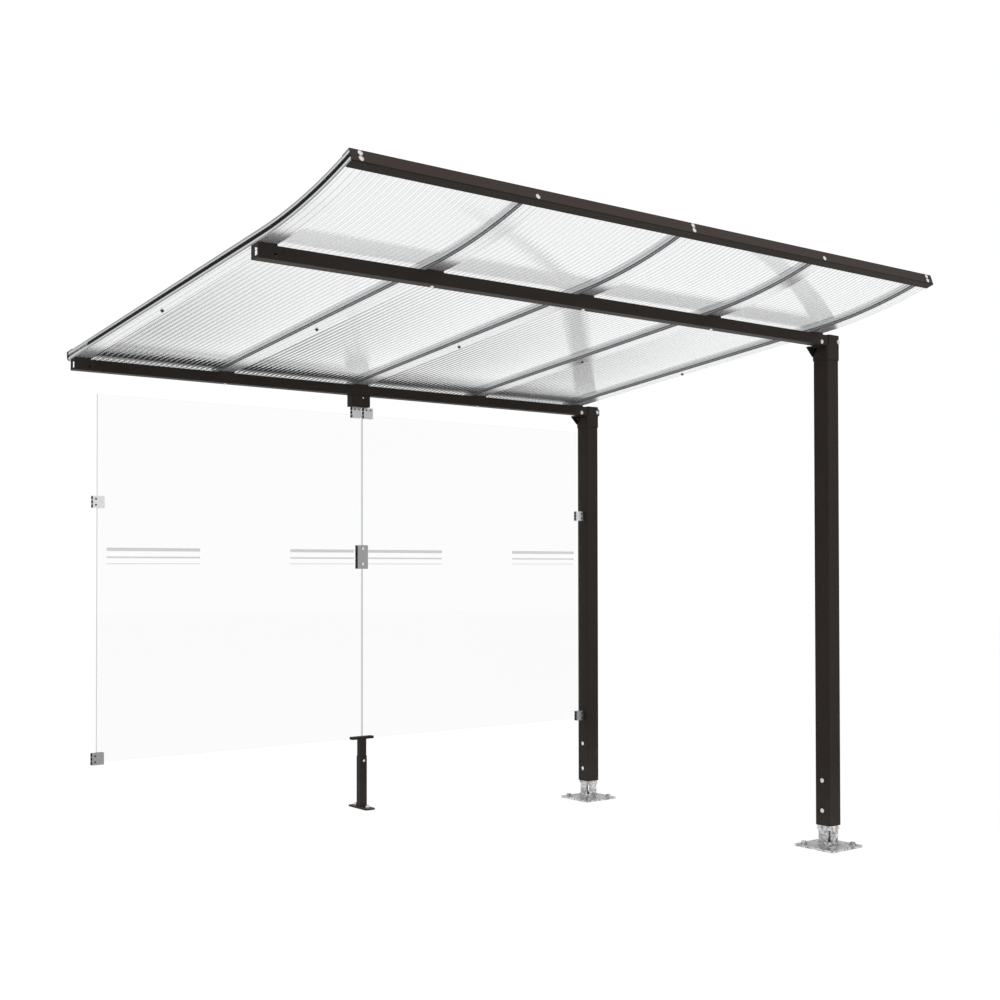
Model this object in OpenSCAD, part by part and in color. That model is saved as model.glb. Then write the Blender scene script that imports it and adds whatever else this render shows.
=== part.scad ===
// Bicycle shelter bay: two posts at one end, two beams, a curved sheet roof on
// extruded ribs, and a two-pane glass rear wall. Units are millimetres.
// X runs along the beams, +Y to the glass wall, +Z up. The origin is on the
// underside of the front post's base plate, on the post's axis.

/* [Frame] */
// Overall length of each beam, along X
beam_len = 2502; // [1800:2:3200]
// Distance between the two posts, centre to centre
post_gap = 1402; // [1000:2:1800]
// Height of the front post's beam, top face above the base plates
beam_top = 1976; // [1700:2:2400]
// Fall from the front post's beam to the rear post's beam
beam_fall = 143; // [60:1:220]
// Beam height
beam_h = 40; // [34:1:60]
// Beam depth, front face to open rear side
beam_d = 42; // [30:1:60]
// Beam sheet thickness
beam_t = 2.5; // [1.5:0.5:4]
// Side of the square posts
post_w = 69; // [50:1:90]
// Post wall thickness
post_t = 4; // [2:0.5:5]
// Outer corner radius of the posts
post_r = 6; // [3:0.5:10]

/* [Post feet] */
// Side of the square base plates
plate_w = 185; // [140:1:260]
// Base plate thickness
plate_t = 8; // [6:0.5:15]
// Spacing of the anchor holes, both ways
anchor_gap = 130; // [90:1:190]
// Radius of the anchor holes
anchor_r = 7; // [5:0.5:10]
// Height of the post's lower end above the base plate's underside
post_lift = 85; // [30:1:150]
// Length of the stub tube inside the post
stub_in = 215; // [120:5:400]
// Heights of the two locking bolts above the base plate's underside
lock_z = [142, 258]; // [100:1:400]

/* [Post heads] */
// Sheet thickness of the head brackets
head_t = 3; // [2:0.5:5]
// How far the head bracket reaches below the beam
head_grip = 53; // [45:1:120]
// Height of the opening between the post's upper end and the beam
head_open = 36; // [30:1:42]
// Distance from the post's axis to the left edge of the bracket's front plate
head_plate = 28; // [20:1:30]
// Distance from the post's axis to the tip of the bracket's gussets
gusset = 72; // [50:1:100]

/* [Roof] */
// Distance between the posts' end of the beams and the roof
roof_end = 94; // [70:1:200]
// Gap between the ribs and the beams' rear top edges
rib_gap = 0.6; // [0.4:0.1:5]
// Radius of the curved front part, at the ribs' underside
bend_r = 2090; // [1500:5:6000]
// Where the curve starts, in front of the front post's axis
bend_y = 54; // [40:2:300]
// Reach of the ribs in front of the front post's axis
reach_front = 524; // [200:2:800]
// Reach of the ribs behind the rear post's axis
reach_rear = 42; // [42:1:300]
// Width of a rib
rib_w = 60; // [40:1:90]
// Height of a rib
rib_h = 32.5; // [26:0.5:50]
// Distance between the three inner ribs
rib_pitch = 608; // [400:1:800]
// Rib wall thickness
rib_t = 2; // [1.5:0.5:3]
// Distance between the three grooves on a rib's underside
groove_gap = 21; // [10:1:25]
// Thickness of the roof sheets
sheet_t = 9.3; // [6:0.1:13]
// Height of a rib below its sheet slot
rib_low = 12; // [8:0.5:16]
// Depth of the front edge channel's lower flange
chan_low = 28; // [15:1:28]
// Depth of the front edge channel's upper flange
front_chan_d = 34; // [20:1:60]
// Depth of the rear edge strip
rear_chan_d = 54; // [20:1:80]
// Sheet thickness of the edge channels
chan_t = 2; // [1.5:0.5:4]

/* [Glass wall] */
// Height of the glass panes' lower edge
glass_z = 378; // [200:2:800]
// Height of the glass panes
glass_h = 1337; // [900:1:1600]
// Distance between the roof's middle rib and the joint of the panes
joint_shift = 18; // [0:1:18]
// Distance between the free end of the rear beam and the glass
glass_inset = 96; // [30:1:300]
// Glass thickness
glass_t = 8; // [5:1:12]
// Gap between the panes
glass_gap = 4; // [2:0.5:10]
// Sheet thickness of the hanger that holds the glass under the beam
hanger_t = 4; // [2:0.5:6]
// Side of the square glass clamps
clamp_w = 44; // [30:1:70]
// Thickness of the glass clamps
clamp_t = 16; // [12:1:30]
// How far the glass reaches into a side clamp
clamp_bite = 26; // [10:1:35]

/* [Support foot] */
// Height of the foot's underside above the base plates' underside
foot_z = 90; // [0:1:150]
// Side of the foot's outer tube
foot_w = 33; // [20:1:50]
// Height of the outer tube's top
foot_top = 305; // [200:1:340]
// Distance between the two holes in the foot's plate
foot_hole_gap = 90; // [60:1:120]
// Radius of those holes
foot_hole_r = 4.5; // [3:0.5:7]

/* [Hidden] */
$fn = 48;

half = post_w / 2;
beam_x0 = half - beam_len;
stub_slack = 0.3;
slot_gap = 0.5;
chan_slack = 0.3;
stem_slack = 0.2;
bolt_slack = 0.3;
spacer_gap = 0.1;
lip = 18;
lip_start = 46;
foot_t = 2;
stub_w = post_w - 2 * post_t - 2 * stub_slack;
stem_w = foot_w - 2 * foot_t - 2 * stem_slack;
head_bolt_x = [-half - 32, half - 7];
head_bolt_z = [beam_h - 11, beam_h - 18];
end_cut = 14;
shank = 4;
bolt_rise = 8;

slope = atan(beam_fall / post_gap);
roof_len = beam_len - roof_end;
mid_x = beam_x0 + roof_len / 2;
rib_x = [beam_x0 + rib_w / 2, mid_x - rib_pitch, mid_x, mid_x + rib_pitch,
         beam_x0 + roof_len - rib_w / 2];
under0 = beam_top + rib_gap + (beam_d - half) * tan(slope);
bend_z = under0 + bend_y * tan(slope);
bend_cy = bend_r * sin(slope) - bend_y;
end_a = asin((bend_cy + reach_front) / bend_r);
rear_y = post_gap + reach_rear;
straight = (rear_y + bend_y) / cos(slope);
chan_h = rib_h + 2 * chan_t + chan_slack;

glass_y = post_gap;
glass_joint = mid_x + joint_shift;
glass_right_x = glass_joint + glass_gap / 2;
glass_right_w = -half - (clamp_w - clamp_bite) - glass_right_x;
glass_left_x = beam_x0 + glass_inset;
glass_left_w = glass_joint - glass_gap / 2 - glass_left_x;

steel = [0.24, 0.21, 0.2];
zinc = [0.72, 0.72, 0.72];
alu = [0.7, 0.71, 0.72];
bright = [0.8, 0.8, 0.8];

// ---- shared shapes -------------------------------------------------------
module round_square(w, r) {
    union() {
        square([w - 2 * r, w], center = true);
        square([w, w - 2 * r], center = true);
        for (sx = [-1, 1], sy = [-1, 1])
            translate([sx * (w / 2 - r), sy * (w / 2 - r)]) circle(r);
    }
}

module tube(w, t, r, z0, z1) {
    translate([0, 0, z0]) linear_extrude(z1 - z0) difference() {
        round_square(w, r);
        round_square(w - 2 * t, r - t);
    }
}

// Domed head of radius r with a hexagon socket, seated on z = 0, rising along +Z
module dome(r, h) {
    cap = (r * r + h * h) / (2 * h);
    cylinder(r = r * 1.25, h = 1.2);
    translate([0, 0, 1.2]) difference() {
        intersection() {
            translate([0, 0, h - cap]) sphere(cap);
            cylinder(r = r, h = h);
        }
        translate([0, 0, h * 0.45]) cylinder(r = r * 0.42, h = h, $fn = 6);
    }
}

// Carries children from the plane z = 0 onto a face with outward normal +-X or -Y
module on_left(x, y, z) translate([x, y, z]) rotate([0, -90, 0]) children();
module on_right(x, y, z) translate([x, y, z]) rotate([0, 90, 0]) children();
module on_front(x, y, z) translate([x, y, z]) rotate([90, 0, 0]) children();
module on_rear(x, y, z) translate([x, y, z]) rotate([-90, 0, 0]) children();

// ---- posts ---------------------------------------------------------------
module post(y, top) translate([0, y, 0]) difference() {
    tube(post_w, post_t, post_r, post_lift, top);
    for (z = lock_z) translate([-half - 1, 0, z]) rotate([0, 90, 0])
        cylinder(r = shank + bolt_slack, h = post_w + 2);
}

module post_foot(y) translate([0, y, 0]) {
    linear_extrude(plate_t) difference() {
        round_square(plate_w, 8);
        for (sx = [-1, 1], sy = [-1, 1])
            translate([sx * anchor_gap / 2, sy * anchor_gap / 2]) circle(anchor_r);
    }
    difference() {
        tube(stub_w, 3, 4, plate_t, post_lift + stub_in);
        for (a = [0 : 90 : 270]) rotate([0, 0, a])
            translate([stub_w / 2 - 9, stub_w / 2 - 9, plate_t + 16]) cube([10, 10, 44]);
        for (z = lock_z) translate([-half, 0, z]) rotate([0, 90, 0])
            cylinder(r = shank + bolt_slack, h = post_w);
    }
}

module post_nuts(y) translate([0, y, plate_t])
    for (sx = [-1, 1], sy = [-1, 1]) translate([sx * anchor_gap / 2, sy * anchor_gap / 2, 0])
        difference() {
            union() {
                cylinder(r = 13, h = 2);
                cylinder(r = 11, h = 11, $fn = 6);
            }
            translate([0, 0, -1]) cylinder(r = anchor_r, h = 14);
        }

module post_bolts(y) for (z = lock_z) {
    on_left(-half, y, z) dome(7, 5);
    on_right(half, y, z) dome(7, 5);
    translate([-half - 1, y, z]) rotate([0, 90, 0]) cylinder(r = shank, h = post_w + 2);
}

// ---- head bracket --------------------------------------------------------
// Outline of the bracket's sleeve; the upper part is open on the beam's side
module head_outline(open) difference() {
    round_square(post_w + 2 * head_t, post_r + head_t);
    if (open) translate([-post_w, -post_w]) square([post_w - head_plate, 2 * post_w]);
}

module post_head(y, top) {
    o = half + head_t;
    seat = top - beam_h;
    translate([0, y, seat]) {
        // sleeve round the post
        translate([0, 0, -head_grip]) linear_extrude(head_grip - head_open) difference() {
            head_outline(false);
            round_square(post_w, post_r);
        }
        // front plate, right and rear walls, and the cap over the beam's end
        difference() {
            translate([0, 0, -head_open]) linear_extrude(head_open + beam_h + head_t)
                head_outline(true);
            translate([-post_w, -half, -head_open - 1])
                cube([post_w + half, post_w, head_open + beam_h + 1]);
            translate([head_bolt_x[1], 1 - half, beam_h - head_bolt_z[1]])
                rotate([90, 0, 0]) cylinder(r = shank + bolt_slack, h = head_t + 2);
        }
        // seat under the beam
        translate([-gusset, -19, -head_t]) cube([gusset + half + 1, 19 + half + 1, head_t]);
        translate([-head_plate, -half - 1, -head_t]) cube([head_plate + half + 1, 20, head_t]);
        // left wall with its rear corner cut away
        translate([-o, 0, 0]) rotate([90, 0, 90]) linear_extrude(head_t)
            polygon([[-half + 3, -head_open - 1], [half - 3, -head_open - 1],
                     [half - 3, -head_open], [9, 0], [-half + 3, 0]]);
        translate([0, 0, -head_open]) linear_extrude(head_open) difference() {
            intersection() {
                head_outline(false);
                translate([-o, -o]) square([o - head_plate + 1, post_r + head_t + 1]);
            }
            translate([-half, -half]) square(post_w);
        }
        // gusset with its cable slot
        translate([0, o, 0]) rotate([90, 0, 0]) linear_extrude(head_t) difference() {
            polygon([[-o, -head_open], [-gusset, -2], [-gusset, 0], [0, 0], [0, -head_open]]);
            translate([-24, -15]) rotate(24) {
                square([9, 13], center = true);
                for (s = [-1, 1]) translate([0, s * 6.5]) circle(4.5);
            }
        }
    }
}

// Stop on the outer side of the rear head bracket
module head_stop(y, top) translate([half, y - 20, top]) rotate([90, 0, 0]) linear_extrude(12)
    polygon([[head_t - 1, -37], [head_t + 8, -37], [head_t + 8, -11], [head_t + 2, -5],
             [head_t - 1, -5]]);

// One bolt holds the beam's web alone, the other the bracket's front plate as well
module head_bolts(y, top) for (i = [0, 1])
    translate([head_bolt_x[i], y - half, top - head_bolt_z[i]]) {
        translate([0, -i * head_t, 0]) rotate([90, 0, 0]) dome(6.5, 6);
        translate([0, beam_t + 7, 0]) rotate([90, 0, 0])
            cylinder(r = shank, h = beam_t + 8 + i * head_t);
        if (i == 0) translate([0, beam_t + 5, 0]) rotate([90, 0, 0])
            cylinder(r = 7, h = 5, $fn = 6);
    }

// ---- beams ---------------------------------------------------------------
module beam(y, top) translate([beam_x0, y - half, top - beam_h]) difference() {
    union() {
        difference() {
            cube([beam_len, beam_d, beam_h]);
            translate([-1, beam_t, beam_t])
                cube([beam_len + 2, beam_d, beam_h - 2 * beam_t]);
        }
        // return lips of the folded channel, cut short at both ends
        for (z = [0, beam_h - lip]) translate([lip_start, beam_d - beam_t, z])
            cube([beam_len - 2 * lip_start, beam_t, lip]);
        // end plates
        for (x = [0, beam_len - beam_t]) translate([x, 0, 0]) cube([beam_t, beam_d, beam_h]);
    }
    for (x = [-1, beam_len - beam_t - 1]) translate([x, 6, 8])
        cube([beam_t + 2, 18, beam_h - 16]);
    translate([54, -1, beam_h / 2 - 5]) rotate([-90, 0, 0]) cylinder(r = 4.5, h = beam_t + 2);
    for (i = [0, 1])
        translate([head_bolt_x[i] - beam_x0, -1, beam_h - head_bolt_z[i]])
            rotate([-90, 0, 0]) cylinder(r = shank + bolt_slack, h = beam_t + 2);
    for (i = [1 : 3]) translate([rib_x[i] - beam_x0, beam_d / 2, -1])
        cylinder(r = shank + bolt_slack, h = beam_h + 2);
}

// ---- roof ----------------------------------------------------------------
// Sweeps a cross-section (x across, y up from the ribs' underside) along the
// roof line: one straight run from the rear edge, then the arc to the front edge.
// Both are made in the frame of the line where they meet.
module along_roof(x) translate([x, -bend_y, bend_z]) rotate([-slope, 0, 0]) {
    rotate([90, 0, 0]) translate([0, 0, -straight]) linear_extrude(straight) children();
    translate([0, 0, bend_r]) rotate([0, 90, 0]) mirror([0, 1, 0])
        rotate_extrude(angle = end_a - slope, $fn = 720)
            translate([bend_r, 0]) rotate(90) children();
}

// Frames at the roof's two ends: x along the edge, y up from the ribs'
// underside, z forward along the roof line
module at_front() translate([0, -bend_y, bend_z]) rotate([-slope, 0, 0])
    translate([0, 0, bend_r]) rotate([slope - end_a, 0, 0]) translate([0, 0, -bend_r])
        rotate([90, 0, 0]) children();
module at_rear() translate([0, -bend_y, bend_z]) rotate([-slope, 0, 0])
    translate([0, straight, 0]) rotate([90, 0, 0]) children();

module rib_section() {
    slot = sheet_t + slot_gap;
    top = rib_low + slot;
    difference() {
        translate([-rib_w / 2, 0]) square([rib_w, rib_h]);
        for (s = [-1, 1]) translate([s > 0 ? 4 : -rib_w / 2 - 1, rib_low])
            square([rib_w / 2 - 3, slot]);
        for (s = [-1, 1]) translate([s > 0 ? rib_t / 2 : -rib_w / 2 + rib_t, rib_t])
            square([rib_w / 2 - 1.5 * rib_t, rib_low - 2 * rib_t]);
        for (s = [-1, 1]) translate([s > 0 ? rib_t / 2 : -rib_w / 2 + rib_t, top + rib_t])
            square([rib_w / 2 - 1.5 * rib_t, rib_h - top - 2 * rib_t]);
        for (x = [-groove_gap, 0, groove_gap]) translate([x - 0.6, -1]) square([1.2, 1.5]);
    }
}

// Height of the ribs' underside at y, behind the curve
function under(y) = under0 - y * tan(slope);

// A rib; its lower rear corner is cut off, and the inner three have bores for
// the bolts that come up through the beams
module rib(i) difference() {
    along_roof(rib_x[i]) rib_section();
    at_rear() translate([rib_x[i] - rib_w, 0, 0]) rotate([0, 90, 0]) linear_extrude(2 * rib_w)
        polygon([[1, -1], [1, rib_low + rib_low / end_cut],
                 [-end_cut - end_cut / rib_low, -1]]);
    if (i > 0 && i < 4) for (y = [0, post_gap]) {
        yb = y - half + beam_d / 2;
        translate([rib_x[i], yb, under(yb) - rib_t])
            cylinder(r = shank + bolt_slack, h = rib_t + bolt_rise + 1);
    }
}

module sheet(i) {
    w = rib_x[i + 1] - rib_x[i] - 8 - 2;
    along_roof((rib_x[i] + rib_x[i + 1]) / 2)
        translate([-w / 2, rib_low]) square([w, sheet_t]);
}

// Folded edge channel: a face, and an upper flange that is deeper than the lower one
module edge_channel() translate([beam_x0, -chan_t, 0]) {
    cube([roof_len, chan_h, chan_t]);
    translate([0, 0, -chan_low]) cube([roof_len, chan_t, chan_low + chan_t]);
    translate([0, chan_h - chan_t, -front_chan_d])
        cube([roof_len, chan_t, front_chan_d + chan_t]);
}

// Rear edge: a strip on top of the ribs, with a tab bent down over each rib's end
module edge_strip() {
    top = rib_h + chan_slack;
    run = sqrt(end_cut * end_cut + rib_low * rib_low);
    dx = chan_t * rib_low / run;
    dy = chan_t * end_cut / run;
    translate([beam_x0, top, -chan_t]) cube([roof_len, chan_t, rear_chan_d]);
    for (x = rib_x) translate([x - rib_w / 2, 0, 0]) rotate([0, 90, 0]) linear_extrude(rib_w)
        polygon([[0, rib_low], [-end_cut, 0], [dx - end_cut, -dy],
                 [chan_t, rib_low - dy + (chan_t - dx) * rib_low / end_cut],
                 [chan_t, top + chan_t], [0, top + chan_t]]);
}

// One spacer per rib: a wedge that fills the space between beam and rib
module rib_spacers(y, top) for (i = [0 : 4]) translate([rib_x[i], y, 0]) difference() {
    y0 = -half;
    y1 = beam_d - half - 1;
    translate([-rib_w / 2, 0, 0]) rotate([90, 0, 90]) linear_extrude(rib_w)
        polygon([[y0, top], [y1, top], [y1, under(y + y1) - spacer_gap],
                 [y0, under(y + y0) - spacer_gap]]);
    if (i > 0 && i < 4) translate([0, beam_d / 2 - half, top - 1])
        cylinder(r = shank + bolt_slack, h = beam_h);
}

// The bolts through a beam into the inner ribs, with their heads below it; drop is the
// thickness clamped below the beam at rib 3
module beam_bolts(y, top, drop) for (i = [1 : 3]) {
    yb = y - half + beam_d / 2;
    low = top - beam_h - (i == 2 ? drop : 0);
    translate([rib_x[i], yb, low]) {
        rotate([180, 0, 0]) dome(6, 6);
        translate([0, 0, -1]) cylinder(r = shank, h = under(yb) + bolt_rise + 1 - low);
    }
}

// ---- small fixings on the roof -------------------------------------------
module channel_bolts() for (i = [0 : 4]) for (h = i % 2 == 0 ? [9.5, 25.5] : [9.5])
    translate([rib_x[i], h, chan_t]) dome(6, 4.5);

module strip_bolts() for (x = rib_x) translate([x, rib_h - 9, -chan_t])
    rotate([180, 0, 0]) dome(6, 4.5);

// Screw heads under the ribs, half way between the beams
module rib_screw_heads() at_rear() for (x = rib_x)
    translate([x + groove_gap / 2, 0, (rear_y - post_gap / 2) / cos(slope)]) rotate([90, 0, 0]) dome(5, 5);

// ---- glass wall ----------------------------------------------------------
module pane(x, w) translate([x, glass_y - glass_t / 2, glass_z]) cube([w, glass_t, glass_h]);

// Side clamp: the slot opens towards +X when s = 1, towards -X when s = -1;
// its closed side stands at x
module side_clamp(x, z, s) translate([x, glass_y, z]) mirror([s > 0 ? 0 : 1, 0, 0])
    difference() {
        translate([0, -clamp_t / 2, 0]) cube([clamp_w, clamp_t, clamp_w]);
        translate([clamp_w - clamp_bite, -glass_t / 2, -1]) cube([clamp_w, glass_t, clamp_w + 2]);
        for (h = [0.25, 0.75]) translate([clamp_w * 0.26, -clamp_t / 2 - 1, clamp_w * h])
            rotate([-90, 0, 0]) cylinder(r = 2.5, h = 5);
    }

module hanger_clamp(x) translate([x - clamp_w / 2, glass_y, glass_z + glass_h - 14])
    difference() {
        translate([0, -clamp_t / 2, 0]) cube([clamp_w, clamp_t, clamp_w]);
        translate([-1, -glass_t / 2, -1]) cube([clamp_w + 2, glass_t, 15]);
        for (h = [0.28, 0.72]) translate([clamp_w * h, -clamp_t / 2 - 1, clamp_w * 0.8])
            rotate([-90, 0, 0]) cylinder(r = 2.5, h = 5);
    }

// ---- support foot --------------------------------------------------------
module foot_plate_2d() round_rect(48, 142, 10);

module round_rect(w, h, r) union() {
    square([w - 2 * r, h], center = true);
    square([w, h - 2 * r], center = true);
    for (sx = [-1, 1], sy = [-1, 1])
        translate([sx * (w / 2 - r), sy * (h / 2 - r)]) circle(r);
}

// ---- the sub-parts -------------------------------------------------------
module front_post() color(steel) post(0, beam_top - beam_h - head_open);
module rear_post() color(steel)
    post(post_gap, beam_top - beam_fall - beam_h - head_open);
module front_post_foot() color(zinc) post_foot(0);
module rear_post_foot() color(zinc) post_foot(post_gap);
module front_post_nuts() color(zinc) post_nuts(0);
module rear_post_nuts() color(zinc) post_nuts(post_gap);
module front_post_bolts() color(bright) post_bolts(0);
module rear_post_bolts() color(bright) post_bolts(post_gap);
module front_post_head() color(steel) post_head(0, beam_top);
module rear_post_head() color(steel) {
    post_head(post_gap, beam_top - beam_fall);
    head_stop(post_gap, beam_top - beam_fall);
}
module front_head_bolts() color(bright) head_bolts(0, beam_top);
module rear_head_bolts() color(bright) head_bolts(post_gap, beam_top - beam_fall);
module middle_beam() color(steel) difference() {
    beam(0, beam_top);
    translate([mid_x + 225, -half - 1, beam_top - 23]) rotate([-90, 0, 0])
        cylinder(r = 3, h = beam_t + 2);
}
module rear_beam() color(steel) beam(post_gap, beam_top - beam_fall);
module front_edge_channel() color(steel) at_front() edge_channel();
module rear_edge_channel() color(steel) at_rear() edge_strip();
module roof_rib_1() color(alu) rib(0);
module roof_rib_2() color(alu) rib(1);
module roof_rib_3() color(alu) rib(2);
module roof_rib_4() color(alu) rib(3);
module roof_rib_5() color(alu) rib(4);
module roof_sheet_1() color([0.9, 0.92, 0.93, 0.5]) sheet(0);
module roof_sheet_2() color([0.9, 0.92, 0.93, 0.5]) sheet(1);
module roof_sheet_3() color([0.9, 0.92, 0.93, 0.5]) sheet(2);
module roof_sheet_4() color([0.9, 0.92, 0.93, 0.5]) sheet(3);
module middle_beam_spacers() color(steel) rib_spacers(0, beam_top);
module rear_beam_spacers() color(steel) rib_spacers(post_gap, beam_top - beam_fall);
module middle_beam_bolts() color(bright) beam_bolts(0, beam_top, 0);
module rear_beam_bolts() color(bright) beam_bolts(post_gap, beam_top - beam_fall, hanger_t);
module front_channel_bolts() color(bright) at_front() channel_bolts();
module rear_channel_bolts() color(bright) at_rear() strip_bolts();
module rib_screws() color(bright) rib_screw_heads();
module glass_left() color([0.9, 0.95, 0.95, 0.35]) pane(glass_left_x, glass_left_w);
module glass_right() color([0.9, 0.95, 0.95, 0.35]) pane(glass_right_x, glass_right_w);

module glass_hanger() color(steel) {
    h = beam_top - beam_fall - beam_h - (glass_z + glass_h - 14 + clamp_w);
    w = 88;
    d = beam_d - 6;
    translate([mid_x - 5 - w / 2, glass_y - half + 3, beam_top - beam_fall - beam_h - h])
        difference() {
            cube([w, d, h]);
            translate([hanger_t, hanger_t, hanger_t])
                cube([w - 2 * hanger_t, d, h - 2 * hanger_t]);
            // clipped corner, and the hole and two notches of the front face
            translate([0, -1, h]) rotate([0, 45, 0]) cube([14, hanger_t + 1, 14], center = true);
            translate([w / 2 + 12, -1, h - 9]) rotate([-90, 0, 0])
                cylinder(r = 4, h = hanger_t + 2);
            for (x = [33, w - 6]) translate([x, -1, 0]) rotate([0, 45, 0])
                cube([14, hanger_t + 1, 14], center = true);
            translate([w / 2 + 5, beam_d / 2 - 3, h - 9])
                cylinder(r = shank + bolt_slack, h = 12);
        }
}

module hanger_clamps() color(bright)
    for (s = [-1, 1]) hanger_clamp(glass_joint + s * (clamp_w / 2 + 6));

module joint_plate() color(bright) translate([glass_joint, glass_y, 0]) {
    for (s = [-1, 1]) translate([-25, s > 0 ? glass_t / 2 : -glass_t / 2 - 5, glass_z + 699])
        cube([50, 5, 98]);
    for (z = [glass_z + 719, glass_z + 783]) {
        on_front(0, -glass_t / 2 - 5, z) dome(5, 4);
        on_rear(0, glass_t / 2 + 5, z) dome(5, 4);
        translate([0, glass_t / 2 + 1, z]) rotate([90, 0, 0])
            cylinder(r = glass_gap / 2 - 0.1, h = glass_t + 2);
    }
}

module left_clamps() color(bright) for (z = [glass_z - 10, glass_z + 922])
    side_clamp(glass_left_x - clamp_w + clamp_bite, z, 1);

module post_clamps() color(bright) for (z = [glass_z - 10, glass_z + 922])
    side_clamp(-half, z, -1);

module support_foot_base() color(steel) translate([glass_joint, glass_y, 0]) {
    translate([0, 0, foot_z]) linear_extrude(6) difference() {
        foot_plate_2d();
        for (s = [-1, 1]) translate([0, s * foot_hole_gap / 2]) circle(foot_hole_r);
    }
    difference() {
        tube(foot_w, foot_t, 4, foot_z + 6, foot_top);
        translate([0, 0, foot_top - 19]) rotate([90, 0, 0])
            cylinder(r = 2 + bolt_slack, h = foot_w);
    }
}

module support_foot_stem() color(steel) translate([glass_joint, glass_y, 0]) {
    difference() {
        tube(stem_w, 2, 2, foot_z + 60, glass_z - 4);
        translate([0, 0, foot_top - 19]) rotate([90, 0, 0])
            cylinder(r = 2 + bolt_slack, h = foot_w);
    }
    // shoe that holds both panes
    translate([-51, -12, glass_z - 4]) difference() {
        cube([102, 24, 11]);
        translate([-1, 12 - glass_t / 2, 4]) cube([104, glass_t, 8]);
    }
}

module support_foot_screws() color(bright) translate([glass_joint, glass_y, 0]) {
    on_front(0, -foot_w / 2, foot_top - 19) dome(4, 3);
    translate([0, -foot_w / 2 + 8, foot_top - 19]) rotate([90, 0, 0]) cylinder(r = 2, h = 9);
    for (s = [-1, 1]) translate([0, s * foot_hole_gap / 2, foot_z + 6]) difference() {
        union() {
            cylinder(r = 13, h = 2);
            cylinder(r = 8, h = 9, $fn = 6);
        }
        translate([0, 0, -1]) cylinder(r = foot_hole_r, h = 12);
    }
}

front_post();
rear_post();
front_post_foot();
rear_post_foot();
front_post_nuts();
rear_post_nuts();
front_post_bolts();
rear_post_bolts();
front_post_head();
rear_post_head();
front_head_bolts();
rear_head_bolts();
middle_beam();
rear_beam();
front_edge_channel();
rear_edge_channel();
roof_rib_1();
roof_rib_2();
roof_rib_3();
roof_rib_4();
roof_rib_5();
roof_sheet_1();
roof_sheet_2();
roof_sheet_3();
roof_sheet_4();
middle_beam_spacers();
rear_beam_spacers();
middle_beam_bolts();
rear_beam_bolts();
front_channel_bolts();
rear_channel_bolts();
rib_screws();
glass_left();
glass_right();
glass_hanger();
hanger_clamps();
joint_plate();
left_clamps();
post_clamps();
support_foot_base();
support_foot_stem();
support_foot_screws();
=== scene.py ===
import math

import bpy
import numpy as np
from bpy.props import FloatProperty, FloatVectorProperty, PointerProperty
from mathutils import Matrix, Vector


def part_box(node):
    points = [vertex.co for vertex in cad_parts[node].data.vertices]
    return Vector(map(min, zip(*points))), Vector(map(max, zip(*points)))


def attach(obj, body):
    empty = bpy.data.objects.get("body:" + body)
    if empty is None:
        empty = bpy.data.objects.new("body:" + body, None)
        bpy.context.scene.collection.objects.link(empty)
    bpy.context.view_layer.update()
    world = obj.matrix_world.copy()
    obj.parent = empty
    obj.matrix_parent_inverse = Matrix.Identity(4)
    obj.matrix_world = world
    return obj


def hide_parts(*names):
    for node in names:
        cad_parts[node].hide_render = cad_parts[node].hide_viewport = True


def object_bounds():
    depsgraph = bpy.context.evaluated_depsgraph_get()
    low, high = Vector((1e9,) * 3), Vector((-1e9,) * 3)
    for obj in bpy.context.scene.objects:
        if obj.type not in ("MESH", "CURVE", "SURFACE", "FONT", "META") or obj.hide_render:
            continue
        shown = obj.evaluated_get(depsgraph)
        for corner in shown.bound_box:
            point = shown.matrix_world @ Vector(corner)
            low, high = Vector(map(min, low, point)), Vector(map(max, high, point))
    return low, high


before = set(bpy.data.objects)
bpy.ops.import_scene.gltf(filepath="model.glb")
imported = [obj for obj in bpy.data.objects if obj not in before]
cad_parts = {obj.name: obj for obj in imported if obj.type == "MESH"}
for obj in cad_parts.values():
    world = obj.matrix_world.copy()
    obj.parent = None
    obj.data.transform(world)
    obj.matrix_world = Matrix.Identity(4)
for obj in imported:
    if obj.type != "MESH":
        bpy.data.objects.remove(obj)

CAD_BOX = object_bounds()

bl_info = {
    "name": "Bicycle Shelter Bay",
    "version": (1, 0, 0),
    "blender": (4, 5, 0),
    "location": "3D View > Sidebar > Shelter",
    "description": "Builds the looks of a bicycle shelter bay round its CAD frame",
    "category": "Object",
}

RIBS = [f"roof_rib_{i}" for i in range(1, 6)]
SHEETS = [f"roof_sheet_{i}" for i in range(1, 5)]
PANES = ["glass_left", "glass_right"]
PAINTED = ["front_post", "rear_post", "front_post_head", "rear_post_head", "middle_beam",
           "rear_beam", "rear_edge_channel", "glass_hanger",
           "support_foot_base", "support_foot_stem", "middle_beam_spacers",
           "rear_beam_spacers"]
GALVANISED = ["front_post_foot", "rear_post_foot", "front_post_nuts", "rear_post_nuts"]
BOLTS = ["front_post_bolts", "rear_post_bolts", "front_head_bolts", "rear_head_bolts",
         "middle_beam_bolts", "rear_beam_bolts", "front_channel_bolts", "rear_channel_bolts",
         "support_foot_screws"]
BLACK_SCREWS = ["rib_screws"]
CLAMPS = ["hanger_clamps", "joint_plate", "left_clamps", "post_clamps"]

TOUCH = 0.0001      # gap between an added piece and the face that it lies on
SHEET_END = 0.0005  # how far the fluted sheets end before the CAD's sheets


# ---- sizes and colours -----------------------------------------------------

def length(name, default, text):
    """A length in metres that a user may change."""
    return FloatProperty(name=name, description=text, default=default, min=0.0,
                         subtype="DISTANCE", unit="LENGTH", precision=4)


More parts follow.
